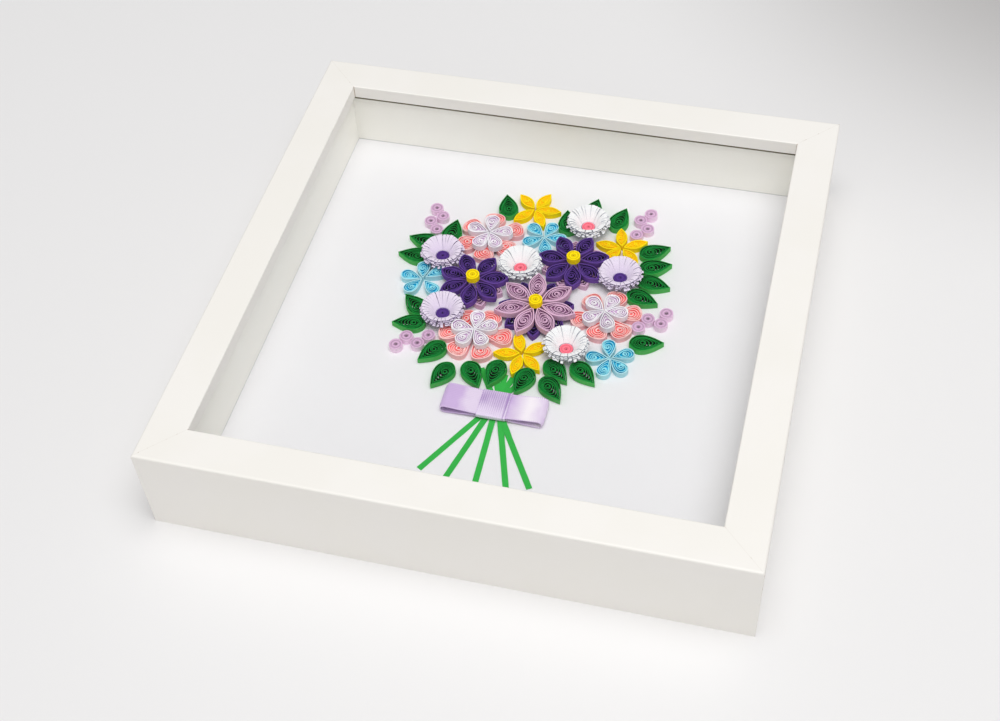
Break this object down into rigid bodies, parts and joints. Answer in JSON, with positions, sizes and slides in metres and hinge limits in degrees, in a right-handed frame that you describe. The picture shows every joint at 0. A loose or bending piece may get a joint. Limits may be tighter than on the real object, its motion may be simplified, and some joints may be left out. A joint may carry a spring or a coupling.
{
  "type": "framed quilled paper art",
  "caption": "Square white box frame on its back with a bouquet of quilled paper flowers, leaves, flat stems and a satin bow on white card behind glass.",
  "frame": {"origin": "centre of the back face, on the surface that the frame lies on", "axes": "+Z out through the glass, +Y towards the top of the picture, +X to its right"},
  "size_m": [0.25, 0.25, 0.045],
  "materials": {
    "frame_foil": "warm white foil-wrapped moulding, satin",
    "spacer_foil": "white wrapped strip, satin",
    "clear_glass": "clear picture glass",
    "white_card": "smooth matt white card",
    "hardboard": "brown hardboard, smooth",
    "steel": "zinc-plated steel",
    "yellow_paper": "matt coloured paper",
    "blue_paper": "matt coloured paper",
    "pink_paper": "matt coloured paper",
    "white_paper": "matt coloured paper",
    "purple_paper": "matt coloured paper",
    "mauve_paper": "matt coloured paper",
    "green_paper": "matt coloured paper",
    "stem_paper": "matt coloured paper",
    "berry_paper": "matt coloured paper",
    "lilac_paper": "matt coloured paper",
    "violet_paper": "matt coloured paper",
    "rose_paper": "matt coloured paper",
    "satin_ribbon": "woven satin ribbon"
  },
  "bodies": {
    "root": {"art_card": "white_card", "backing_board": "hardboard", "berries_left": "berry_paper", "berries_right": "berry_paper", "berries_top_left": "berry_paper", "berries_top_right": "berry_paper", "blue_flower_1": "blue_paper", "blue_flower_2": "blue_paper", "blue_flower_3": "blue_paper", "bow_loops": "satin_ribbon", "bow_wrap": "satin_ribbon", "flower_stems": "stem_paper", "fringed_flower_1": "lilac_paper", "fringed_flower_2": "lilac_paper", "fringed_flower_3": "lilac_paper", "fringed_flower_4": "white_paper", "fringed_flower_5": "white_paper", "fringed_flower_6": "white_paper", "glazing_pane": "clear_glass", "hanger_rivets": "steel", "leaves_bottom_left": "green_paper", "leaves_bottom_right": "green_paper", "leaves_left": "green_paper", "leaves_right": "green_paper", "leaves_top": "green_paper", "mauve_flower_1": "mauve_paper", "mauve_under_petals_1": "mauve_paper", "mauve_under_petals_2": "mauve_paper", "pink_eyes": "rose_paper", "pink_flower_1": "pink_paper", "pink_flower_2": "pink_paper", "pink_flower_3": "pink_paper", "purple_flower_1": "purple_paper", "purple_flower_2": "purple_paper", "purple_under_petals": "purple_paper", "rail_bottom": "frame_foil", "rail_left": "frame_foil", "rail_right": "frame_foil", "rail_top": "frame_foil", "retaining_points": "steel", "sawtooth_hanger": "steel", "spacer_bottom": "spacer_foil", "spacer_left": "spacer_foil", "spacer_right": "spacer_foil", "spacer_top": "spacer_foil", "v_nails": "steel", "violet_eyes": "violet_paper", "white_flower_1": "white_paper", "white_flower_2": "white_paper", "white_flower_3": "white_paper", "yellow_centre_1": "yellow_paper", "yellow_centre_2": "yellow_paper", "yellow_centre_3": "yellow_paper", "yellow_flower_1": "yellow_paper", "yellow_flower_2": "yellow_paper", "yellow_flower_3": "yellow_paper"}
  },
  "joints": []
}
